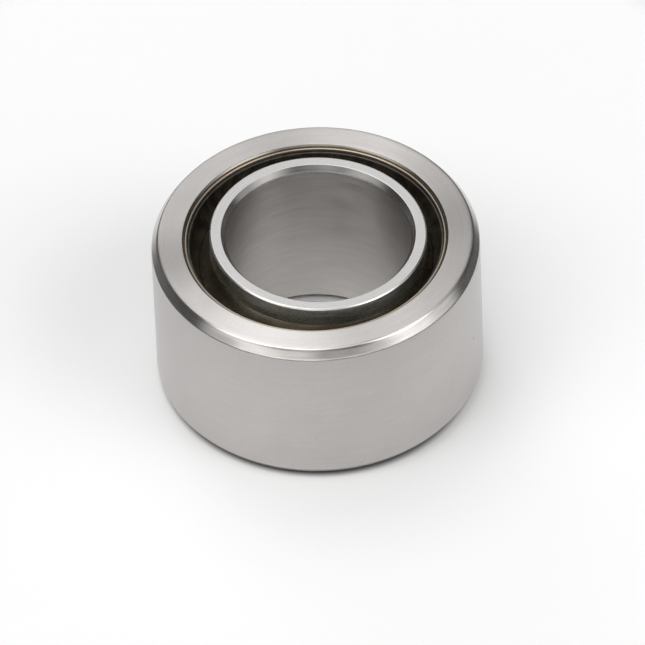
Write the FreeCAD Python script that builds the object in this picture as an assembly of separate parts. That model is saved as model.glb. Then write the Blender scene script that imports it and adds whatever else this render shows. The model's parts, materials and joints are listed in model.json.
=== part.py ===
"""A sealed spherical plain bearing with extended inner-ring necks, standing as it does loose on a table.

Lengths are in millimetres and angles in degrees. The origin is the centre of the ball, and +Z is the axis of the
inner ring's bore. The inner ring stands level on its lower face. The outer ring, with everything fixed in it, leans
on the ball towards -X until its lower edge reaches the table.
"""

import FreeCAD
import Part

import math
import os
from FreeCAD import Vector

# Sizes that the shaft and the housing see
bore_diameter = 35.0
outer_diameter = 62.0
inner_width = 35.0
outer_width = 32.8

# The share of the steel between bore and housing that the inner ring has at its widest
inner_steel_share = 0.54

# Inner ring: a ball that rises above a plain neck on each side
ball_rise = 4.0
bore_chamfer_radial = 0.85
bore_chamfer_axial = 1.15
neck_edge_break = 0.25

# Outer ring
outer_chamfer_radial = 1.3
outer_chamfer_axial = 2.0
seal_shoulder_width = 1.4
mouth_edge_break = 0.4

# Sliding liner, bonded to the raceway
liner_thickness = 0.5
ball_clearance = 0.04

# Seal retainer: a pressed steel ring with an L section and a rolled rim
retainer_wall = 0.5
retainer_setback = 0.5

# Seal: a moulded ring with two lips that wipe the ball
seal_setback = 0.6
seal_rim_width = 0.45
seal_rim_round = 0.2
seal_clearance = 0.05
lip_clearance = 0.05
lip_land = 0.3
lip_groove_width = 0.45
lip_groove_depth = 0.25
funnel_sag = 0.4

# Motion: how far the rings may tilt from each other, and what is then left between neck and lip
tilt_limit = 7.0
tilt_reserve = 0.6

# Gap between the table and the edge that the outer ring leans on
table_gap = 0.05

# What follows from the sizes above
bore_radius = bore_diameter / 2
outer_radius = outer_diameter / 2
steel_depth = outer_radius - bore_radius - ball_clearance - liner_thickness
ball_radius = bore_radius + inner_steel_share * steel_depth
liner_radius = ball_radius + ball_clearance
raceway_radius = liner_radius + liner_thickness
neck_radius = ball_radius - ball_rise
inner_top = inner_width / 2
outer_top = outer_width / 2

CENTRE = Vector(0, 0, 0)
Y_AXIS = Vector(0, 1, 0)
Z_AXIS = Vector(0, 0, 1)


def at(radius, height):
    """Return a point of a half section: its distance from the axis and its height."""
    return Vector(radius, 0, height)


def at_height(sphere_radius, height):
    """Return the point of a centred sphere's section at a height."""
    return at(math.sqrt(sphere_radius**2 - height**2), height)


def at_angle(sphere_radius, angle):
    """Return the point of a centred sphere's section at an angle from the axis."""
    turn = math.radians(angle)
    return at(sphere_radius * math.sin(turn), sphere_radius * math.cos(turn))


def angle_of_length(sphere_radius, length):
    """Return the angle that a length along a centred sphere takes."""
    return math.degrees(length / sphere_radius)


def line(start, end):
    """Return a straight edge."""
    return Part.LineSegment(start, end).toShape()


def arc(start, middle, end):
    """Return a circular edge through three points."""
    return Part.Arc(start, middle, end).toShape()


def sagged_arc(start, end, sag):
    """Return an arc whose middle lies a sag to the outside of the straight line between its ends."""
    chord = end - start
    outward = Vector(-chord.z, 0, chord.x)
    if outward.x < 0:
        outward = outward * -1
    middle = (start + end) * 0.5 + outward.normalize() * sag
    return arc(start, middle, end)


def polyline(*points):
    """Return the straight edges that join the points in order."""
    return [line(start, end) for start, end in zip(points, points[1:])]


def turned(edges):
    """Return the solid that a closed half section makes when it is turned about the axis."""
    section = Part.Face(Part.Wire(edges))
    return section.revolve(CENTRE, Z_AXIS, 360)


# Where the neck meets the ball
neck_base = math.sqrt(ball_radius**2 - neck_radius**2)
neck_edge_angle = math.degrees(math.atan2(neck_radius, neck_base))

# The seal's lips start just past where the neck's edge gets to at full tilt
lip_radius = ball_radius + lip_clearance
lip_top_angle = neck_edge_angle + tilt_limit + tilt_reserve
groove_top_angle = lip_top_angle + angle_of_length(lip_radius, lip_land)
groove_bottom_angle = groove_top_angle + angle_of_length(lip_radius, lip_groove_width)
lip_bottom_angle = groove_bottom_angle + angle_of_length(lip_radius, lip_land)
lip_bottom = at_angle(lip_radius, lip_bottom_angle)

# The retainer's foot lies under the seal, on a shoulder at the raceway's edge
seal_bottom = lip_bottom.z
foot_top = seal_bottom - seal_clearance
shoulder_height = foot_top - retainer_wall
raceway_edge = at_height(raceway_radius, shoulder_height)
counterbore_radius = raceway_edge.x + seal_shoulder_width
retainer_top = outer_top - retainer_setback
seal_top = retainer_top - seal_setback

# The lean that brings the outer ring's lower edge down to the table, within what the seal allows
edge_radius = outer_radius - outer_chamfer_radial
edge_reach = math.hypot(outer_top, edge_radius)
edge_drop = min(inner_top - table_gap, edge_reach)
table_lean = math.degrees(math.asin(edge_drop / edge_reach) - math.atan2(outer_top, edge_radius))
rest_lean = max(0.0, min(table_lean, tilt_limit))


def inner_ring():
    """Return the inner ring: ball, two necks, bore and its chamfers."""
    chamfer_radius = bore_radius + bore_chamfer_radial
    rim_radius = neck_radius - neck_edge_break
    chamfer_height = inner_top - bore_chamfer_axial
    rim_height = inner_top - neck_edge_break
    upper = polyline(
        at(bore_radius, chamfer_height),
        at(chamfer_radius, inner_top),
        at(rim_radius, inner_top),
        at(neck_radius, rim_height),
        at(neck_radius, neck_base),
    )
    ball = arc(at(neck_radius, neck_base), at(ball_radius, 0), at(neck_radius, -neck_base))
    lower = polyline(
        at(neck_radius, -neck_base),
        at(neck_radius, -rim_height),
        at(rim_radius, -inner_top),
        at(chamfer_radius, -inner_top),
        at(bore_radius, -chamfer_height),
        at(bore_radius, chamfer_height),
    )
    return turned(upper + [ball] + lower)


def outer_ring():
    """Return the outer ring: chamfered outside, raceway, and a stepped counterbore on each side for a seal."""
    mouth_radius = counterbore_radius + mouth_edge_break
    mouth_height = outer_top - mouth_edge_break
    chamfer_height = outer_top - outer_chamfer_axial
    outside = polyline(
        at(raceway_edge.x, shoulder_height),
        at(counterbore_radius, shoulder_height),
        at(counterbore_radius, mouth_height),
        at(mouth_radius, outer_top),
        at(edge_radius, outer_top),
        at(outer_radius, chamfer_height),
        at(outer_radius, -chamfer_height),
        at(edge_radius, -outer_top),
        at(mouth_radius, -outer_top),
        at(counterbore_radius, -mouth_height),
        at(counterbore_radius, -shoulder_height),
        at(raceway_edge.x, -shoulder_height),
    )
    raceway = arc(at(raceway_edge.x, -shoulder_height), at(raceway_radius, 0), raceway_edge)
    return turned(outside + [raceway])


def sliding_liner():
    """Return the liner: a thin zone of a sphere between the ball and the raceway, flush with the shoulders."""
    inner_edge = at_height(liner_radius, shoulder_height)
    inner_foot = at_height(liner_radius, -shoulder_height)
    outer_foot = at_height(raceway_radius, -shoulder_height)
    return turned(
        [
            arc(inner_foot, at(liner_radius, 0), inner_edge),
            line(inner_edge, raceway_edge),
            arc(raceway_edge, at(raceway_radius, 0), outer_foot),
            line(outer_foot, inner_foot),
        ]
    )


def upper_retainer():
    """Return the retainer: a foot on the shoulder, a wall against the counterbore and a rolled rim."""
    wall_radius = counterbore_radius - retainer_wall
    rim_round = retainer_wall / 2
    rim_height = retainer_top - rim_round
    rim = arc(
        at(counterbore_radius, rim_height),
        at(counterbore_radius - rim_round, retainer_top),
        at(wall_radius, rim_height),
    )
    inside = polyline(
        at(wall_radius, rim_height),
        at(wall_radius, foot_top),
        at(raceway_edge.x, foot_top),
        at(raceway_edge.x, shoulder_height),
        at(counterbore_radius, shoulder_height),
        at(counterbore_radius, rim_height),
    )
    return turned([rim] + inside)


def upper_seal():
    """Return the seal: a ring with a rounded rim, a hollow funnel down to the ball, and two lips with a groove."""
    seal_radius = counterbore_radius - retainer_wall - seal_clearance
    funnel_top = at(seal_radius - seal_rim_width, seal_top - seal_rim_round)
    rim_inner = at(seal_radius - seal_rim_width + seal_rim_round, seal_top)
    rim_middle = at(
        rim_inner.x - seal_rim_round * math.sin(math.pi / 4),
        funnel_top.z + seal_rim_round * math.sin(math.pi / 4),
    )
    lip_top = at_angle(lip_radius, lip_top_angle)
    groove_top = at_angle(lip_radius, groove_top_angle)
    groove_bottom = at_angle(lip_radius, groove_bottom_angle)
    groove_floor = at_angle(lip_radius + lip_groove_depth, (groove_top_angle + groove_bottom_angle) / 2)
    upper_lip = arc(lip_top, at_angle(lip_radius, (lip_top_angle + groove_top_angle) / 2), groove_top)
    lower_lip = arc(groove_bottom, at_angle(lip_radius, (groove_bottom_angle + lip_bottom_angle) / 2), lip_bottom)
    body = polyline(
        lip_bottom,
        at(seal_radius, seal_bottom),
        at(seal_radius, seal_top),
        rim_inner,
    )
    return turned(
        body
        + [
            arc(rim_inner, rim_middle, funnel_top),
            sagged_arc(funnel_top, lip_top, funnel_sag),
            upper_lip,
            arc(groove_top, groove_floor, groove_bottom),
            lower_lip,
        ]
    )


def mirrored(shape):
    """Return a shape's mirror image on the other side of the bearing."""
    return shape.mirror(CENTRE, Z_AXIS)


def leaned(shape):
    """Return a shape turned about the ball's centre, as the outer ring leans towards -X."""
    turned_shape = shape.copy()
    turned_shape.rotate(CENTRE, Y_AXIS, -rest_lean)
    return turned_shape


def main():
    """Build each piece and write it as a STEP file of its own."""
    in_outer_ring = {
        "outer_ring": outer_ring(),
        "sliding_liner": sliding_liner(),
        "upper_retainer": upper_retainer(),
        "lower_retainer": mirrored(upper_retainer()),
        "upper_seal": upper_seal(),
        "lower_seal": mirrored(upper_seal()),
    }
    pieces = {name: leaned(shape) for name, shape in in_outer_ring.items()}
    pieces["inner_ring"] = inner_ring()
    os.makedirs("parts", exist_ok=True)
    for name, shape in pieces.items():
        shape.exportStep(f"parts/{name}.step")
        print(f"{name}: {shape.Volume:.1f} mm3, valid {shape.isValid()}")
    print(f"lean at rest {rest_lean:.3f} degrees, tilt limit {tilt_limit} degrees")
    print(f"bore wall length {inner_width - 2 * bore_chamfer_axial:.2f} mm")
    print(f"housing seat length {outer_width - 2 * outer_chamfer_axial:.2f} mm")


main()
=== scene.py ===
"""The looks of a sealed spherical plain bearing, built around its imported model.

Lengths of the bearing are in millimetres and angles in degrees, unless a name says otherwise. The origin is
the centre of the ball and +Z is the axis of the inner ring. The outer ring, with what is fixed in it, leans
on the ball towards -X. Every piece is turned from its half section, and its finish is worked out from its
own coordinates.
"""

import json
import logging
import math
from dataclasses import dataclass, field
from enum import Enum
from typing import Any

import bmesh
import bpy
from mathutils import Matrix, Vector


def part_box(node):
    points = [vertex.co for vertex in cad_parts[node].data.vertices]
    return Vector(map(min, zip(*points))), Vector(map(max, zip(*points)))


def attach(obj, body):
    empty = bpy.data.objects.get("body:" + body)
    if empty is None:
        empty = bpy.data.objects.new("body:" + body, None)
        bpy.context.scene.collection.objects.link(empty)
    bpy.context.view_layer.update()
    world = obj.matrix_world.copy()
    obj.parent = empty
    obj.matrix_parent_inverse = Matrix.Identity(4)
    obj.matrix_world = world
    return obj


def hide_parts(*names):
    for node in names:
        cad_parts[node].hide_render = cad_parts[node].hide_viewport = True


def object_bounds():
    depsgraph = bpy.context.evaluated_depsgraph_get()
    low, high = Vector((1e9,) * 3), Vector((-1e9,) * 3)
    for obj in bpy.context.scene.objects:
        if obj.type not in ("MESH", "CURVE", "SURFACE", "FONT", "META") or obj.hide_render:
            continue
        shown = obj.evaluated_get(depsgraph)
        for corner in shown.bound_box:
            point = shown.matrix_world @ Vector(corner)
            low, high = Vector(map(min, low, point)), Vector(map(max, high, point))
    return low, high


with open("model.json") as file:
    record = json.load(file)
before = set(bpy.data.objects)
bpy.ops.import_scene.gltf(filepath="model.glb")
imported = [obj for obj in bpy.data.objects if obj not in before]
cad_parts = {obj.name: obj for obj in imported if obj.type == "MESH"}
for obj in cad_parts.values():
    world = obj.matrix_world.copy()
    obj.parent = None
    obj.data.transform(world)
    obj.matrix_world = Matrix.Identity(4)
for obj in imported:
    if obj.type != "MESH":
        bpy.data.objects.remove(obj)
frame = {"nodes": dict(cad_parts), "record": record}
CAD_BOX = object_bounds()

log = logging.getLogger("bearing")

METRES = 0.001
PICTURE_SIDE = 645

Colour = tuple[float, float, float]
Input = Any


class Side(Enum):
    """The two ends of the bearing."""

    UPPER = 1
    LOWER = -1


class Number:
    """A number in a shader. Sums on it add Math nodes."""

    def __init__(self, shader: "Shader", socket: bpy.types.NodeSocket) -> None:
        """Hold a socket of a shader."""
        self.shader = shader
        self.socket = socket

    def _sum(self, operation: str, *values: Input) -> "Number":
        """Return the result of a Math node.

        Args:
            operation: The Math node's operation.
            values: Its inputs in order, as numbers or plain floats.

        Returns:
            The node's value.
        """
        node = self.shader.node("ShaderNodeMath", {"operation": operation}, dict(enumerate(values)))
        return Number(self.shader, node.outputs[0])

    def __add__(self, other: Input) -> "Number":
        """Add."""
        return self._sum("ADD", self, other)

    def __radd__(self, other: Input) -> "Number":
        """Add to a plain number."""
        return self._sum("ADD", other, self)

    def __sub__(self, other: Input) -> "Number":
        """Subtract."""
        return self._sum("SUBTRACT", self, other)

    def __rsub__(self, other: Input) -> "Number":
        """Subtract from a plain number."""
        return self._sum("SUBTRACT", other, self)

    def __mul__(self, other: Input) -> "Number":
        """Multiply."""
        return self._sum("MULTIPLY", self, other)

    def __rmul__(self, other: Input) -> "Number":
        """Multiply a plain number."""
        return self._sum("MULTIPLY", other, self)

    def __truediv__(self, other: Input) -> "Number":
        """Divide."""
        return self._sum("DIVIDE", self, other)

    def __rtruediv__(self, other: Input) -> "Number":
        """Divide a plain number."""
        return self._sum("DIVIDE", other, self)

    def __pow__(self, other: Input) -> "Number":
        """Raise to a power."""
        return self._sum("POWER", self, other)

    def __rpow__(self, other: Input) -> "Number":
        """Raise a plain number to this power."""
        return self._sum("POWER", other, self)


class Shader:
    """The nodes of one material or world."""

    # Numbers of a Mix node's sockets for colours, whose names repeat
    MIX_SHARE = 0
    MIX_LOW = 6
    MIX_HIGH = 7
    MIX_RESULT = 2

    def __init__(self, owner: Any) -> None:
        """Empty the node tree of a material or world.

        Args:
            owner: The material or world.
        """
        owner.use_nodes = True
        self.tree = owner.node_tree
        self.tree.nodes.clear()

    def node(self, kind: str, settings: dict[str, Any], inputs: dict[str | int, Input]) -> bpy.types.Node:
        """Add a node.

        Args:
            kind: The node's type.
            settings: Its properties, which are set first.
            inputs: Plain values or links for its sockets, by name or number.

        Returns:
            The new node.
        """
        node = self.tree.nodes.new(kind)
        for name, value in settings.items():
            setattr(node, name, value)
        for key, value in inputs.items():
            socket = node.inputs[key]
            if isinstance(value, Number):
                self.tree.links.new(value.socket, socket)
            elif isinstance(value, bpy.types.NodeSocket):
                self.tree.links.new(value, socket)
            else:
                socket.default_value = value
        return node

    def number(self, node: bpy.types.Node, output: str | int = 0) -> Number:
        """Return a node's output as a number."""
        return Number(self, node.outputs[output])

    def parts(self, vector: bpy.types.NodeSocket) -> tuple[Number, Number, Number]:
        """Return a vector's three parts."""
        node = self.node("ShaderNodeSeparateXYZ", {}, {0: vector})
        return tuple(Number(self, output) for output in node.outputs)

    def step(self, value: Number, start: float, end: float) -> Number:
        """Return a smooth step.

        Args:
            value: The number that it depends on.
            start: The value up to which it is 0.
            end: The value from which it is 1.

        Returns:
            The step, from 0 to 1.
        """
        settings = {"interpolation_type": "SMOOTHSTEP"}
        inputs = {"Value": value, "From Min": start, "From Max": end, "To Min": 0.0, "To Max": 1.0}
        return self.number(self.node("ShaderNodeMapRange", settings, inputs))

    def noise(self, place: bpy.types.NodeSocket, scale: float, detail: float) -> Number:
        """Return soft noise from 0 to 1."""
        node = self.node("ShaderNodeTexNoise", {}, {"Vector": place, "Scale": scale, "Detail": detail})
        return self.number(node)

    def swing(self, share: Number) -> Number:
        """Return a number from 0 to 1 as one from -1 to 1."""
        return (share - 0.5) * 2.0

    def mixed(self, low: Colour, high: Colour, share: Number) -> bpy.types.NodeSocket:
        """Return the colour on the way from one colour to another."""
        inputs = {self.MIX_SHARE: share, self.MIX_LOW: (*low, 1.0), self.MIX_HIGH: (*high, 1.0)}
        return self.node("ShaderNodeMix", {"data_type": "RGBA"}, inputs).outputs[self.MIX_RESULT]

    def tinted(self, colour: Input, strength: Number) -> bpy.types.NodeSocket:
        """Return a colour multiplied by a number."""
        node = self.node("ShaderNodeVectorMath", {"operation": "SCALE"}, {0: colour, "Scale": strength})
        return node.outputs[0]

    def place(self, lean: float = 0.0) -> bpy.types.NodeSocket:
        """Return the place on a piece.

        Args:
            lean: The piece's lean towards -X, which is taken out.

        Returns:
            The place in millimetres.
        """
        coordinates = self.node("ShaderNodeTexCoord", {}, {})
        turn = (0.0, math.radians(lean), 0.0)
        scale = (1 / METRES, 1 / METRES, 1 / METRES)
        inputs = {"Vector": coordinates.outputs["Object"], "Rotation": turn, "Scale": scale}
        return self.node("ShaderNodeMapping", {}, inputs).outputs[0]


@dataclass(frozen=True)
class Turned:
    """A turned, ground or honed metal finish, with marks that run round the axis.

    Attributes:
        name: The material's name.
        colour: Base colour.
        roughness: How satin it is.
        stretch: How far the marks stretch a highlight across them, from 0 to 1.
        mark_pitch: Distance between marks.
        mark_depth: Depth of the marks.
        mark_turns: How often a mark changes on its way round.
        streak: How much the shade varies from mark to mark.
        mottle: How much the shade varies from patch to patch.
        speckle: How much the shade varies from grain to grain.
        painted_upward_shade: Painted shade: how much it dims the colour from one millimetre to the next,
            going up.
        crown: How steeply the ground surface falls off outwards.
        film: How far a film of oil covers it, from 0 to 1.
        lean: Lean of the piece, which the marks follow.
    """

    name: str
    colour: Colour
    roughness: float
    stretch: float = 0.6
    mark_pitch: float = 0.3
    mark_depth: float = 0.001
    mark_turns: float = 2.5
    streak: float = 0.05
    mottle: float = 0.03
    speckle: float = 0.02
    painted_upward_shade: float = 0.0
    crown: float = 0.0
    film: float = 0.0
    lean: float = 0.0

    # Patches, grain and marks: how many there are to a millimetre, and how fine their noise is
    PATCH_SCALE = 0.12
    PATCH_DETAIL = 3.0
    GRAIN_SCALE = 3.5
    GRAIN_DETAIL = 1.0
    MARK_DETAIL = 2.0

    # How much the roughness varies with the marks and with the patches
    MARK_ROUGHNESS = 0.25
    PATCH_ROUGHNESS = 0.2

    # Share of the height that is added to the radius, so that walls have marks as faces do
    HEIGHT_SHARE = 0.37

    # A quarter of a turn, which lays the highlight's stretch across the marks
    ACROSS = 0.25

    FILM_ROUGHNESS = 0.4

    def material(self) -> bpy.types.Material:
        """Make the finish's material.

        Returns:
            The new material.
        """
        material = bpy.data.materials.new(self.name)
        shader = Shader(material)
        place = shader.place(self.lean)
        across, away, up = shader.parts(place)
        radius = (across * across + away * away) ** 0.5
        marks = self._marks(shader, across / radius, away / radius, radius + self.HEIGHT_SHARE * up)
        patches = shader.noise(place, self.PATCH_SCALE, self.PATCH_DETAIL)
        grain = shader.noise(place, self.GRAIN_SCALE, self.GRAIN_DETAIL)
        mark_swing = shader.swing(marks)
        patch_swing = shader.swing(patches)
        shade = 1.0 + self.streak * mark_swing + self.mottle * patch_swing
        # The last term is painted shade: the colour dims steadily going up, so the lower end is lighter.
        shade = shade + self.speckle * shader.swing(grain) - self.painted_upward_shade * up
        rough = self.roughness * (1.0 + self.MARK_ROUGHNESS * mark_swing + self.PATCH_ROUGHNESS * patch_swing)
        height = marks * self.mark_depth - self.crown * radius
        bump = shader.node("ShaderNodeBump", {}, {"Distance": METRES, "Height": height})
        inputs = {
            "Base Color": shader.tinted(self.colour, shade),
            "Metallic": 1.0,
            "Roughness": rough,
            "Anisotropic": self.stretch,
            "Anisotropic Rotation": self.ACROSS,
            "Coat Weight": self.film,
            "Coat Roughness": self.FILM_ROUGHNESS,
            "Normal": bump.outputs[0],
        }
        principled = shader.node("ShaderNodeBsdfPrincipled", {}, inputs)
        shader.node("ShaderNodeOutputMaterial", {}, {"Surface": principled.outputs[0]})
        return material

    def _marks(self, shader: Shader, across: Number, away: Number, along: Number) -> Number:
        """Return the marks' height.

        Args:
            shader: The material's shader.
            across: The first part of the direction from the axis.
            away: The second part of that direction.
            along: The place across the marks.

        Returns:
            The height, from 0 to 1.
        """
        turns = {0: along / self.mark_pitch, 1: across * self.mark_turns, 2: away * self.mark_turns}
        place = shader.node("ShaderNodeCombineXYZ", {}, turns).outputs[0]
        return shader.noise(place, 1.0, self.MARK_DETAIL)


@dataclass(frozen=True)
class Moulded:
    """A moulded rubber or bonded fabric finish.

    Attributes:
        name: The material's name.
        colour: Colour where it is clean.
        worn_colour: Colour where oil and dust lie on it.
        roughness: How matt it is.
    """

    name: str
    colour: Colour
    worn_colour: Colour
    roughness: float

    # Patches: how many there are to a millimetre, how fine their noise is, and what they do
    PATCH_SCALE = 0.45
    PATCH_DETAIL = 3.0
    PATCH_ROUGHNESS = 0.15
    WORN_FROM = 0.35
    WORN_FULLY = 0.65

    def material(self) -> bpy.types.Material:
        """Make the finish's material.

        Returns:
            The new material.
        """
        material = bpy.data.materials.new(self.name)
        shader = Shader(material)
        patches = shader.noise(shader.place(), self.PATCH_SCALE, self.PATCH_DETAIL)
        worn = shader.step(patches, self.WORN_FROM, self.WORN_FULLY)
        inputs = {
            "Base Color": shader.mixed(self.colour, self.worn_colour, worn),
            "Roughness": self.roughness * (1.0 + self.PATCH_ROUGHNESS * shader.swing(patches)),
        }
        principled = shader.node("ShaderNodeBsdfPrincipled", {}, inputs)
        shader.node("ShaderNodeOutputMaterial", {}, {"Surface": principled.outputs[0]})
        return material


Finish = Turned | Moulded


def material_of(finish: Finish) -> bpy.types.Material:
    """Return a finish's material, made once."""
    return bpy.data.materials.get(finish.name) or finish.material()


@dataclass(frozen=True)
class Corner:
    """A circle of the piece that is rounded.

    Attributes:
        radius: Distance from the axis.
        height: Height on the axis.
        width: How far the round reaches from the corner on each side.
    """

    radius: float
    height: float
    width: float

    # How close a point lies to the circle to be on it
    NEAR = 0.01

    def has(self, point: Vector) -> bool:
        """Say whether a point lies on the circle."""
        radius = math.hypot(point.x, point.y)
        return abs(radius - self.radius) < self.NEAR and abs(point.z - self.height) < self.NEAR


class Lathe:
    """Turns a half section about the axis, stretch by stretch, into one closed piece."""

    # Facets round the axis, the gap that is welded, and the angle from which an edge stays sharp
    STEPS = 192
    WELD = 0.002
    SHARP = math.radians(25)

    # Facets over a round, an even number, so that each half takes its own side's finish
    ROUND_SEGMENTS = 4

    # Share of a stretch that a margin beside a round needs at least
    SHORTEST_SHARE = 0.05

    def __init__(self, radius: float, height: float, side: Side = Side.UPPER) -> None:
        """Set the tool at the first point of the half section.

        Args:
            radius: Distance from the axis.
            height: Height above the middle, on the side given.
            side: Which end of the bearing the heights count towards.
        """
        self.side = side.value
        self.mesh = bmesh.new()
        self.tip = Vector((radius, 0.0, height * self.side))
        self.corners: list[Corner] = []
        self.finishes: list[Finish] = []

    def line(self, radius: float, height: float, finish: Finish, rounded: float = 0.0) -> None:
        """Turn a straight stretch.

        Args:
            radius: Where it ends, from the axis.
            height: Where it ends, above the middle.
            finish: Its finish.
            rounded: How far the round at its end reaches.
        """
        start = self.tip
        end = Vector((radius, 0.0, height * self.side))
        length = (end - start).length
        # A circle of vertices beside each round keeps the round's shading off the flat stretch
        before = self.corners[-1].width if self.corners and self.corners[-1].has(start) else 0.0
        margins = [2 * before / length, 1 - 2 * rounded / length]
        shares = [m for m in margins if self.SHORTEST_SHARE < m < 1 - self.SHORTEST_SHARE]
        self._turn([start] + [start.lerp(end, share) for share in shares] + [end], finish, rounded)

    def arc(
        self, radius: float, height: float, turn: float, steps: int, finish: Finish, rounded: float = 0.0
    ) -> None:
        """Turn a round stretch.

        Args:
            radius: Its centre, from the axis.
            height: Its centre, above the middle.
            turn: How far it goes round that centre, positive from up to outward.
            steps: Its number of facets.
            finish: Its finish.
            rounded: How far the round at its end reaches.
        """
        centre = Vector((radius, 0.0, height * self.side))
        spoke = self.tip - centre
        facet = math.radians(turn) * self.side / steps
        points = [centre + Matrix.Rotation(facet * step, 3, "Y") @ spoke for step in range(steps + 1)]
        self._turn(points, finish, rounded)

    def bow(
        self, radius: float, height: float, sag: float, steps: int, finish: Finish, rounded: float = 0.0
    ) -> None:
        """Turn a bowed stretch.

        Args:
            radius: Where it ends, from the axis.
            height: Where it ends, above the middle.
            sag: How far its middle lies to the left of the straight way.
            steps: Its number of facets.
            finish: Its finish.
            rounded: How far the round at its end reaches.
        """
        start = Vector((self.tip.x, self.tip.z * self.side))
        end = Vector((radius, height))
        chord = end - start
        left = Vector((-chord.y, chord.x)).normalized()
        bow_radius = (chord.length_squared / 4 + sag**2) / (2 * sag)
        centre = (start + end) / 2 - left * (bow_radius - sag)
        half_turn = math.atan2(chord.length / 2, bow_radius - sag)
        self.arc(centre.x, centre.y, math.degrees(2 * half_turn), steps, finish, rounded)

    def _turn(self, points: list[Vector], finish: Finish, rounded: float) -> None:
        """Spin a stretch about the axis and add it to the piece.

        Args:
            points: Its points in order, of which the last becomes the tool's place.
            finish: Its finish.
            rounded: How far the round at its end reaches.
        """
        if finish not in self.finishes:
            self.finishes.append(finish)
        stretch = bmesh.new()
        verts = [stretch.verts.new(point) for point in points]
        edges = [stretch.edges.new(pair) for pair in zip(verts, verts[1:])]
        bmesh.ops.spin(
            stretch,
            geom=verts + edges,
            cent=(0.0, 0.0, 0.0),
            axis=(0.0, 0.0, 1.0),
            angle=math.tau,
            steps=self.STEPS,
            use_merge=True,
        )
        for face in stretch.faces:
            face.material_index = self.finishes.index(finish)
        turned = bpy.data.meshes.new("stretch")
        stretch.to_mesh(turned)
        stretch.free()
        self.mesh.from_mesh(turned)
        bpy.data.meshes.remove(turned)
        self.tip = points[-1]
        if rounded > 0:
            self.corners.append(Corner(self.tip.x, self.tip.z, rounded))

    def _round(self, corner: Corner) -> None:
        """Round one corner.

        Args:
            corner: The circle that is rounded.
        """
        near = {vert for vert in self.mesh.verts if corner.has(vert.co)}
        circle = [edge for edge in self.mesh.edges if edge.verts[0] in near and edge.verts[1] in near]
        bmesh.ops.bevel(
            self.mesh,
            geom=circle,
            offset=corner.width,
            offset_type="OFFSET",
            affect="EDGES",
            segments=self.ROUND_SEGMENTS,
            profile=0.5,
            material=-1,
        )

    def piece(self, name: str, lean: float = 0.0) -> bpy.types.Object:
        """Close the piece, round its corners and put it in the scene.

        Args:
            name: Its name.
            lean: How far it leans towards -X.

        Returns:
            The finished object, in metres, at the origin.
        """
        bmesh.ops.remove_doubles(self.mesh, verts=self.mesh.verts, dist=self.WELD)
        for corner in self.corners:
            self._round(corner)
        bmesh.ops.recalc_face_normals(self.mesh, faces=self.mesh.faces)
        for face in self.mesh.faces:
            face.smooth = True
        for edge in self.mesh.edges:
            edge.smooth = edge.calc_face_angle(0.0) < self.SHARP
        turn = Matrix.Rotation(math.radians(-lean), 3, "Y")
        bmesh.ops.rotate(self.mesh, cent=(0.0, 0.0, 0.0), matrix=turn, verts=self.mesh.verts)
        bmesh.ops.scale(self.mesh, vec=(METRES, METRES, METRES), verts=self.mesh.verts)
        data = bpy.data.meshes.new(name)
        self.mesh.to_mesh(data)
        self.mesh.free()
        for finish in self.finishes:
            data.materials.append(material_of(finish))
        made = bpy.data.objects.new(name, data)
        bpy.context.scene.collection.objects.link(made)
        return made


def mount(name: str) -> dict[str, Any]:
    """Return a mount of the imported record."""
    return next(m for m in frame["record"]["mounts"] if m["name"] == name)


def joint(name: str) -> dict[str, Any]:
    """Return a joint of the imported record."""
    return next(j for j in frame["record"]["behaviour"]["joints"] if j["name"] == name)


def height_along(name: str) -> float:
    """Return how far from the ball's centre a mount lies along its own axis."""
    return Vector(mount(name)["pos_m"]).dot(Vector(mount(name)["axis"])) / METRES


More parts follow.
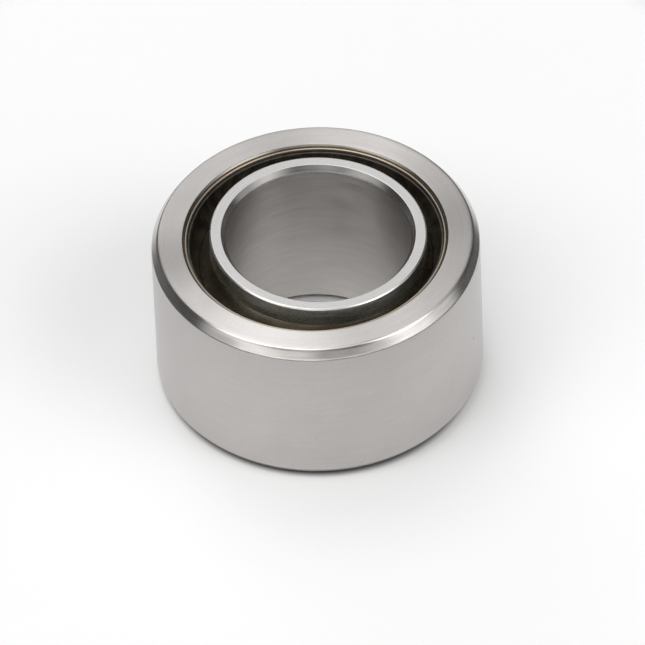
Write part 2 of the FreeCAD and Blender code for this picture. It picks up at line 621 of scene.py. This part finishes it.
@dataclass(frozen=True)
class Bearing:
    """The sizes that the pieces share, as the frame has them.

    Attributes:
        bore_radius: Radius of the bore.
        bore_wall: Length of the bore between its chamfers.
        inner_top: Half the inner ring's width.
        ball_radius: Radius of the ball.
        raceway_radius: Radius of the outer ring's raceway.
        outer_radius: Radius of the outside.
        outer_side: Length of the outside between its chamfers.
        outer_top: Half the outer ring's width.
        tilt_limit: How far the rings tilt from each other.
        lean: How far the outer ring leans towards -X.
        neck_depth: How far a neck lies below the ball.
        tilt_reserve: What is left between neck and lip at full tilt.
        shoulder_width: Width of the shoulder under a retainer.
        wall: Thickness of a retainer.
        lip_gap: Gap between a lip and the ball, and round the seal.
        lip_land: Length of each lip.
        groove_width: Width of the groove between the lips.
    """

    bore_radius: float
    bore_wall: float
    inner_top: float
    ball_radius: float
    raceway_radius: float
    outer_radius: float
    outer_side: float
    outer_top: float
    tilt_limit: float
    lean: float
    neck_depth: float = 4.0
    tilt_reserve: float = 0.6
    shoulder_width: float = 1.4
    wall: float = 0.5
    lip_gap: float = 0.05
    lip_land: float = 0.3
    groove_width: float = 0.45

    @classmethod
    def from_frame(cls) -> "Bearing":
        """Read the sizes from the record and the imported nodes.

        Returns:
            The bearing's sizes.
        """
        bore = mount("bore")["dims"]
        seat = mount("housing_seat")
        least, most = joint("ring_tilt")["range_deg"]
        low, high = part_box("inner_ring")
        raceway_low, raceway_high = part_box("sliding_liner")
        return cls(
            bore_radius=bore["r_mm"],
            bore_wall=bore["length_mm"],
            inner_top=height_along("upper_inner_face"),
            ball_radius=(high.y - low.y) / 2 / METRES,
            raceway_radius=(raceway_high.y - raceway_low.y) / 2 / METRES,
            outer_radius=seat["dims"]["r_mm"],
            outer_side=seat["dims"]["length_mm"],
            outer_top=height_along("upper_outer_face"),
            tilt_limit=(most - least) / 2,
            lean=math.degrees(math.atan2(-seat["axis"][0], seat["axis"][2])),
        )

    @property
    def neck_radius(self) -> float:
        """Radius of the necks."""
        return self.ball_radius - self.neck_depth

    @property
    def neck_base(self) -> float:
        """Height at which a neck meets the ball."""
        return math.sqrt(self.ball_radius**2 - self.neck_radius**2)

    @property
    def lip_radius(self) -> float:
        """Radius of the sphere that the lips lie on."""
        return self.ball_radius + self.lip_gap

    def lip_point(self, down: float) -> Vector:
        """Return the radius and height of a point on the lips.

        Args:
            down: How far it lies from the lips' top, along the ball.

        Returns:
            The point.
        """
        top = math.atan2(self.neck_radius, self.neck_base) + math.radians(self.tilt_limit + self.tilt_reserve)
        angle = top + down / self.lip_radius
        return Vector((math.sin(angle), math.cos(angle))) * self.lip_radius

    @property
    def seal_bottom(self) -> Vector:
        """Where the lower lip ends."""
        return self.lip_point(2 * self.lip_land + self.groove_width)

    @property
    def foot_top(self) -> float:
        """Height of a retainer's foot."""
        return self.seal_bottom.y - self.lip_gap

    @property
    def shoulder_height(self) -> float:
        """Height of the shoulder under a retainer."""
        return self.foot_top - self.wall

    @property
    def raceway_edge(self) -> float:
        """Radius of the raceway's edge."""
        return math.sqrt(self.raceway_radius**2 - self.shoulder_height**2)

    @property
    def counterbore(self) -> float:
        """Radius of the counterbore that a retainer sits in."""
        return self.raceway_edge + self.shoulder_width


BEARING = Bearing.from_frame()

FACE = Turned(
    "ground_face",
    (0.625, 0.6, 0.585),
    0.37,
    stretch=0.95,
    streak=0.12,
    speckle=0.07,
    crown=0.08,
    lean=BEARING.lean,
)
CHAMFER = Turned(
    "turned_chamfer",
    (0.62, 0.6, 0.575),
    0.22,
    stretch=0.7,
    streak=0.35,
    mark_pitch=0.35,
    lean=BEARING.lean,
)
OUTSIDE = Turned(
    "ground_outside",
    (0.48, 0.456, 0.446),
    0.34,
    mottle=0.09,
    streak=0.07,
    speckle=0.08,
    film=0.95,
    lean=BEARING.lean,
)
MOUTH = Turned("turned_mouth", (0.27, 0.245, 0.21), 0.25, stretch=0.5, lean=BEARING.lean)
ROLLED = Turned("rolled_rim", (0.42, 0.355, 0.285), 0.3, stretch=0.4, lean=BEARING.lean)
INNER_FACE = Turned("inner_ground_face", (0.66, 0.65, 0.64), 0.28, stretch=0.3)
BORE = Turned(
    "honed_bore",
    (0.63, 0.609, 0.591),
    0.34,
    stretch=0.92,
    mark_depth=0.0005,
    streak=0.13,
    speckle=0.04,
    # Painted shade: the bore's colour dims towards its top
    painted_upward_shade=0.022,
)
BORE_CHAMFER = Turned("bore_chamfer", (0.33, 0.321, 0.309), 0.26, stretch=0.7)
NECK = Turned("polished_neck", (0.72, 0.71, 0.64), 0.27, stretch=0.85, mark_depth=0.0003)
BALL = Turned("polished_ball", (0.44, 0.38, 0.285), 0.25, stretch=0.7, streak=0.5, mark_pitch=0.6)
SEAL = Moulded("oiled_rubber", (0.01, 0.009, 0.008), (0.034, 0.028, 0.02), 0.26)
LINER = Moulded("woven_liner", (0.2, 0.13, 0.07), (0.26, 0.18, 0.1), 0.8)


@dataclass
class InnerRing:
    """The inner ring: a ball with a plain neck on each side and a chamfered bore.

    Attributes:
        sizes: The bearing's sizes.
        bore_chamfer: How far the bore's chamfer reaches out from it.
        edge_break: Size of the small bevel at a neck's edge.
        edge_round: Round of the small edges.
        chamfer_round: Round where the bore meets its chamfer.
        ball_facets: Number of facets over the ball.
    """

    sizes: Bearing
    bore_chamfer: float = 0.85
    edge_break: float = 0.25
    edge_round: float = 0.07
    chamfer_round: float = 0.2
    ball_facets: int = 48

    def build(self) -> bpy.types.Object:
        """Turn the ring.

        Returns:
            The finished piece.
        """
        bore = self.sizes.bore_radius
        top = self.sizes.inner_top
        neck = self.sizes.neck_radius
        base = self.sizes.neck_base
        wall_top = self.sizes.bore_wall / 2
        half_turn = math.degrees(math.atan2(base, neck))
        lathe = Lathe(bore, -wall_top)
        lathe.line(bore, wall_top, BORE, self.chamfer_round)
        lathe.line(bore + self.bore_chamfer, top, BORE_CHAMFER, self.edge_round)
        lathe.line(neck - self.edge_break, top, INNER_FACE, self.edge_round)
        lathe.line(neck, top - self.edge_break, INNER_FACE, self.edge_round)
        lathe.line(neck, base, NECK)
        lathe.arc(0.0, 0.0, 2 * half_turn, self.ball_facets, BALL)
        lathe.line(neck, self.edge_break - top, NECK, self.edge_round)
        lathe.line(neck - self.edge_break, -top, INNER_FACE, self.edge_round)
        lathe.line(bore + self.bore_chamfer, -top, INNER_FACE, self.edge_round)
        lathe.line(bore, -wall_top, BORE_CHAMFER, self.chamfer_round)
        return lathe.piece("inner_ring_turned")


@dataclass
class OuterRing:
    """The outer ring: chamfered outside, raceway inside, and a counterbore at each end.

    Attributes:
        sizes: The bearing's sizes.
        chamfer: How far the outside's chamfer reaches in.
        mouth_break: Size of the bevel at the counterbore's edge.
        face_round: Round between face and chamfer.
        side_round: Round between chamfer and outside.
        mouth_round: Round of the counterbore's bevel.
        raceway_facets: Number of facets over the raceway.
    """

    sizes: Bearing
    chamfer: float = 1.3
    mouth_break: float = 0.4
    face_round: float = 0.4
    side_round: float = 0.22
    mouth_round: float = 0.12
    raceway_facets: int = 24

    def build(self) -> bpy.types.Object:
        """Turn the ring.

        Returns:
            The finished piece.
        """
        radius = self.sizes.outer_radius
        edge = radius - self.chamfer
        top = self.sizes.outer_top
        side = self.sizes.outer_side / 2
        shoulder = self.sizes.shoulder_height
        raceway = self.sizes.raceway_edge
        counterbore = self.sizes.counterbore
        mouth = counterbore + self.mouth_break
        half_turn = math.degrees(math.atan2(shoulder, raceway))
        lathe = Lathe(raceway, -shoulder)
        lathe.arc(0.0, 0.0, -2 * half_turn, self.raceway_facets, MOUTH)
        lathe.line(counterbore, shoulder, MOUTH)
        lathe.line(counterbore, top - self.mouth_break, MOUTH, self.mouth_round)
        lathe.line(mouth, top, MOUTH, self.mouth_round)
        lathe.line(edge, top, FACE, self.face_round)
        lathe.line(radius, side, CHAMFER, self.side_round)
        lathe.line(radius, -side, OUTSIDE, self.side_round)
        lathe.line(edge, -top, CHAMFER, self.face_round)
        lathe.line(mouth, -top, FACE, self.mouth_round)
        lathe.line(counterbore, self.mouth_break - top, MOUTH, self.mouth_round)
        lathe.line(counterbore, -shoulder, MOUTH)
        lathe.line(raceway, -shoulder, MOUTH)
        return lathe.piece("outer_ring_turned", self.sizes.lean)


@dataclass
class Retainer:
    """A pressed steel ring that holds a seal: a foot, a wall and a rolled rim.

    Attributes:
        sizes: The bearing's sizes.
        side: The end that it is at.
        setback: How deep its rim lies below the ring's face.
        foot_round: Round of the foot's edge.
        bend_round: Round of the bends.
        rim_facets: Number of facets over the rolled rim.
    """

    sizes: Bearing
    side: Side
    setback: float = 0.5
    foot_round: float = 0.06
    bend_round: float = 0.1
    rim_facets: int = 10

    def build(self) -> bpy.types.Object:
        """Turn the retainer.

        Returns:
            The finished piece.
        """
        counterbore = self.sizes.counterbore
        inside = counterbore - self.sizes.wall
        rim_round = self.sizes.wall / 2
        rim_height = self.sizes.outer_top - self.setback - rim_round
        foot_top = self.sizes.foot_top
        shoulder = self.sizes.shoulder_height
        raceway = self.sizes.raceway_edge
        lathe = Lathe(counterbore, rim_height, self.side)
        lathe.arc(counterbore - rim_round, rim_height, -180.0, self.rim_facets, ROLLED)
        lathe.line(inside, foot_top, ROLLED, self.bend_round)
        lathe.line(raceway, foot_top, ROLLED, self.foot_round)
        lathe.line(raceway, shoulder, ROLLED, self.foot_round)
        lathe.line(counterbore, shoulder, ROLLED, self.bend_round)
        lathe.line(counterbore, rim_height, ROLLED)
        return lathe.piece(f"{self.side.name.lower()}_retainer_rolled", self.sizes.lean)


@dataclass
class Seal:
    """A moulded seal: a rounded rim, a hollow funnel and two lips that wipe the ball.

    Attributes:
        sizes: The bearing's sizes.
        side: The end that it is at.
        setback: How deep its rim lies below the outer ring's face.
        rim_width: Width of the rim.
        rim_round: Round of the rim's inner edge.
        groove_depth: Depth of the groove between the lips.
        funnel_sag: How far the funnel bows outwards.
        edge_round: Round of the seal's foot and rim.
        lip_round: Round of the upper lip.
        rim_facets: Number of facets over the rim's round.
        funnel_facets: Number of facets down the funnel.
        lip_facets: Number of facets over each lip.
        groove_facets: Number of facets over the groove.
    """

    sizes: Bearing
    side: Side
    setback: float = 1.1
    rim_width: float = 0.45
    rim_round: float = 0.2
    groove_depth: float = 0.25
    funnel_sag: float = 0.4
    edge_round: float = 0.08
    lip_round: float = 0.05
    rim_facets: int = 5
    funnel_facets: int = 16
    lip_facets: int = 2
    groove_facets: int = 8

    def build(self) -> bpy.types.Object:
        """Turn the seal.

        Returns:
            The finished piece.
        """
        sizes = self.sizes
        radius = sizes.counterbore - sizes.wall - sizes.lip_gap
        top = sizes.outer_top - self.setback
        rim_inner = radius - self.rim_width + self.rim_round
        land = math.degrees(sizes.lip_land / sizes.lip_radius)
        lathe = Lathe(*sizes.seal_bottom, self.side)
        lathe.line(radius, sizes.seal_bottom.y, SEAL, self.edge_round)
        lathe.line(radius, top, SEAL, self.edge_round)
        lathe.line(rim_inner, top, SEAL)
        lathe.arc(rim_inner, top - self.rim_round, -90.0, self.rim_facets, SEAL)
        lathe.bow(*sizes.lip_point(0.0), self.funnel_sag, self.funnel_facets, SEAL, self.lip_round)
        lathe.arc(0.0, 0.0, land, self.lip_facets, SEAL)
        groove_end = sizes.lip_point(sizes.lip_land + sizes.groove_width)
        lathe.bow(*groove_end, self.groove_depth, self.groove_facets, SEAL)
        lathe.arc(0.0, 0.0, land, self.lip_facets, SEAL)
        return lathe.piece(f"{self.side.name.lower()}_seal_moulded", sizes.lean)


@dataclass
class Viewpoint:
    """The camera, placed so that the ball's centre lands on its pixel of the photograph.

    Attributes:
        azimuth: Direction that it looks from, round the bearing.
        elevation: Angle of its view below the horizon.
        roll: How far the picture is turned clockwise.
        distance: From the ball's centre.
        focal_pixels: Focal length in pixels.
        centre_column: The ball centre's column.
        centre_row: The ball centre's row.
        sensor_width: Width of the sensor.
        nearest: Nearest distance that it shows, in metres.
        farthest: Farthest distance that it shows, in metres.
    """

    azimuth: float = 1.31
    elevation: float = 45.12
    roll: float = 0.44
    distance: float = 2480.0
    focal_pixels: float = 13111.0
    centre_column: float = 317.91
    centre_row: float = 298.48
    sensor_width: float = 36.0
    nearest: float = 0.05
    farthest: float = 50.0

    def build(self) -> bpy.types.Object:
        """Place the camera and make it the scene's.

        Returns:
            The camera.
        """
        turn = math.radians(self.azimuth)
        rise = math.radians(self.elevation)
        roll = math.radians(self.roll)
        right = Vector((math.cos(turn), math.sin(turn), 0.0))
        level = Vector((-math.sin(turn), math.cos(turn), 0.0))
        forward = level * math.cos(rise) - Vector((0.0, 0.0, math.sin(rise)))
        down = forward.cross(right)
        across = right * math.cos(roll) - down * math.sin(roll)
        below = right * math.sin(roll) + down * math.cos(roll)
        middle = PICTURE_SIDE / 2
        ray = forward * self.focal_pixels
        ray += across * (self.centre_column - middle) + below * (self.centre_row - middle)
        data = bpy.data.cameras.new("camera")
        data.sensor_width = self.sensor_width
        data.lens = self.focal_pixels / PICTURE_SIDE * self.sensor_width
        data.clip_start = self.nearest
        data.clip_end = self.farthest
        camera = bpy.data.objects.new("camera", data)
        axes = Matrix((across, -below, -forward)).transposed().to_4x4()
        camera.matrix_world = Matrix.Translation(-ray.normalized() * self.distance * METRES) @ axes
        bpy.context.scene.collection.objects.link(camera)
        bpy.context.scene.camera = camera
        return camera


@dataclass(frozen=True)
class Softbox:
    """A soft round light in the studio's sky.

    Attributes:
        right: Degrees from the camera's own direction round to its right, where 180 is behind the bearing.
        rise: Degrees above the horizon.
        core: Radius of its full brightness, as an angle.
        edge: Radius at which it ends, as an angle.
        brightness: What it adds to the sky, where 1 is white.
    """

    right: float
    rise: float
    core: float
    edge: float
    brightness: float

    def light(self, shader: Shader, direction: bpy.types.NodeSocket) -> Number:
        """Work out its light.

        Args:
            shader: The sky's shader.
            direction: The direction in the sky, seen from the camera's own.

        Returns:
            What it adds to the sky there.
        """
        turn = math.radians(self.right)
        rise = math.radians(self.rise)
        place = (math.sin(turn) * math.cos(rise), -math.cos(turn) * math.cos(rise), math.sin(rise))
        node = shader.node("ShaderNodeVectorMath", {"operation": "DOT_PRODUCT"}, {0: direction, 1: place})
        nearness = shader.number(node, "Value")
        end = math.cos(math.radians(self.edge))
        full = math.cos(math.radians(self.core))
        return self.brightness * shader.step(nearness, end, full)


@dataclass
class Studio:
    """A floor with a painted pool of light and a painted shadow under the outer ring, and a soft sky with
    softboxes round the bearing.

    Attributes:
        turn: The camera's azimuth in radians. Right, front and back are meant from the camera.
        floor_height: Height of the floor in metres.
        boxes: The softboxes.
        level: The sky's brightness between the softboxes.
        floor_shade: The floor's reflectance where its painted pool of light is full.
        painted_falloff: Painted falloff of light: what the floor's reflectance loses outside the painted
            pool.
        pool: Where the painted pool of light starts and ends to thin out, in metres from its middle towards
            the back.
        pool_squeeze: How much narrower than deep the painted pool of light is.
        pool_shift: How far behind the bearing its middle lies, in metres.
        painted_shadow_ring: Where the painted shadow under the outer ring starts and ends, in metres from the
            middle.
        painted_shadow_edge: Width of the painted shadow's soft edges in metres.
        painted_shadow_share: How much of the floor's shade is left in the painted shadow.
        floor_radius: Radius of the floor in metres.
        floor_facets: Number of sides of the floor.
    """

    turn: float
    floor_height: float
    boxes: list[Softbox] = field(default_factory=list)
    level: float = 0.1
    floor_shade: float = 0.94
    painted_falloff: float = 0.84
    pool: tuple[float, float] = (0.112, 0.14)
    pool_squeeze: float = 1.22
    pool_shift: float = 0.012
    painted_shadow_ring: tuple[float, float] = (0.019, 0.0305)
    painted_shadow_edge: float = 0.002
    painted_shadow_share: float = 0.15
    floor_radius: float = 3.0
    floor_facets: int = 64

    def build(self) -> None:
        """Make the floor and the sky."""
        self._floor()
        self._sky()

    def _floor(self) -> None:
        """Make the floor, with a painted pool of light round the bearing and a painted shadow under the outer
        ring, and clear from below.
        """
        mesh = bmesh.new()
        bmesh.ops.create_circle(mesh, cap_ends=True, radius=self.floor_radius, segments=self.floor_facets)
        bmesh.ops.translate(mesh, vec=(0.0, 0.0, self.floor_height), verts=mesh.verts)
        data = bpy.data.meshes.new("floor")
        mesh.to_mesh(data)
        mesh.free()
        material = bpy.data.materials.new("floor_with_painted_light")
        shader = Shader(material)
        coordinates = shader.node("ShaderNodeTexCoord", {}, {})
        inputs = {"Vector": coordinates.outputs["Object"], "Rotation": (0.0, 0.0, -self.turn)}
        across, away, _ = shader.parts(shader.node("ShaderNodeMapping", {}, inputs).outputs[0])
        radius = (across * across + away * away) ** 0.5
        # Painted shadow: a ring under the outer ring where the floor keeps only a share of its shade.
        start, end = self.painted_shadow_ring
        begun = shader.step(radius, start, start + self.painted_shadow_edge)
        painted_shadow = begun - shader.step(radius, end - self.painted_shadow_edge, end)
        # Painted pool of light: outside an oval round the bearing the floor's shade drops, so the metal
        # reflects a dimmer floor there.
        across = across * self.pool_squeeze
        away = away - self.pool_shift
        distance = (across * across + away * away) ** 0.5
        shade = self.floor_shade - self.painted_falloff * shader.step(distance, *self.pool)
        shade = shade * (1.0 - (1.0 - self.painted_shadow_share) * painted_shadow)
        diffuse = shader.node("ShaderNodeBsdfDiffuse", {}, {"Color": shader.tinted((1.0, 1.0, 1.0), shade)})
        clear = shader.node("ShaderNodeBsdfTransparent", {}, {})
        under = shader.node("ShaderNodeNewGeometry", {}, {}).outputs["Backfacing"]
        inputs = {0: under, 1: diffuse.outputs[0], 2: clear.outputs[0]}
        surface = shader.node("ShaderNodeMixShader", {}, inputs)
        shader.node("ShaderNodeOutputMaterial", {}, {"Surface": surface.outputs[0]})
        data.materials.append(material)
        floor = bpy.data.objects.new("floor", data)
        bpy.context.scene.collection.objects.link(floor)

    def _sky(self) -> None:
        """Make the sky."""
        world = bpy.data.worlds.new("studio")
        bpy.context.scene.world = world
        shader = Shader(world)
        coordinates = shader.node("ShaderNodeTexCoord", {}, {})
        inputs = {"Vector": coordinates.outputs["Generated"], "Rotation": (0.0, 0.0, -self.turn)}
        direction = shader.node("ShaderNodeMapping", {}, inputs).outputs[0]
        strength = self.level
        for box in self.boxes:
            strength = strength + box.light(shader, direction)
        inputs = {"Color": (1.0, 1.0, 1.0, 1.0), "Strength": strength}
        background = shader.node("ShaderNodeBackground", {}, inputs)
        shader.node("ShaderNodeOutputWorld", {}, {"Surface": background.outputs[0]})


SOFTBOXES = [
    Softbox(right=-8.0, rise=36.0, core=4.0, edge=14.0, brightness=0.35),
    Softbox(right=-60.0, rise=8.0, core=4.0, edge=20.0, brightness=0.63),
    Softbox(right=-36.0, rise=8.0, core=4.0, edge=20.0, brightness=1.52),
    Softbox(right=-12.0, rise=8.0, core=4.0, edge=20.0, brightness=1.42),
    Softbox(right=12.0, rise=8.0, core=4.0, edge=20.0, brightness=0.90),
    Softbox(right=36.0, rise=8.0, core=4.0, edge=20.0, brightness=0.87),
    Softbox(right=60.0, rise=8.0, core=4.0, edge=20.0, brightness=1.29),
    Softbox(right=84.0, rise=8.0, core=4.0, edge=20.0, brightness=0.85),
    Softbox(right=-156.0, rise=24.0, core=4.0, edge=20.0, brightness=1.47),
    Softbox(right=-60.0, rise=42.0, core=6.0, edge=24.0, brightness=1.76),
    Softbox(right=60.0, rise=42.0, core=6.0, edge=24.0, brightness=2.86),
    Softbox(right=90.0, rise=42.0, core=6.0, edge=24.0, brightness=0.59),
    Softbox(right=-180.0, rise=62.0, core=8.0, edge=28.0, brightness=1.15),
    Softbox(right=-135.0, rise=62.0, core=8.0, edge=28.0, brightness=1.33),
    Softbox(right=-45.0, rise=62.0, core=8.0, edge=28.0, brightness=1.26),
    Softbox(right=0.0, rise=62.0, core=8.0, edge=28.0, brightness=1.15),
]


def put(piece: bpy.types.Object, body: str, node: str) -> None:
    """Let a piece stand for its node, which is hidden, and ride on its body.

    Args:
        piece: The finished piece.
        body: The body that carries it.
        node: The node that it stands for.
    """
    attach(piece, body)
    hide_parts(node)
    log.info("%s rides on %s: %d faces", piece.name, body, len(piece.data.polygons))


def main() -> None:
    """Build the pieces, the studio and the camera."""
    logging.basicConfig(level=logging.INFO, format="%(name)s: %(message)s")
    bpy.context.scene.view_settings.view_transform = "Standard"

    put(InnerRing(BEARING).build(), "inner_ring", "inner_ring")
    put(OuterRing(BEARING).build(), "outer_ring", "outer_ring")
    for side, body in ((Side.UPPER, "upper_seal"), (Side.LOWER, "outer_ring")):
        word = side.name.lower()
        put(Retainer(BEARING, side).build(), "outer_ring", f"{word}_retainer")
        put(Seal(BEARING, side).build(), body, f"{word}_seal")
    for slot in frame["nodes"]["sliding_liner"].material_slots:
        slot.material = material_of(LINER)

    view = Viewpoint()
    view.build()
    Studio(math.radians(view.azimuth), CAD_BOX[0].z, SOFTBOXES).build()


if __name__ == "__main__":
    main()
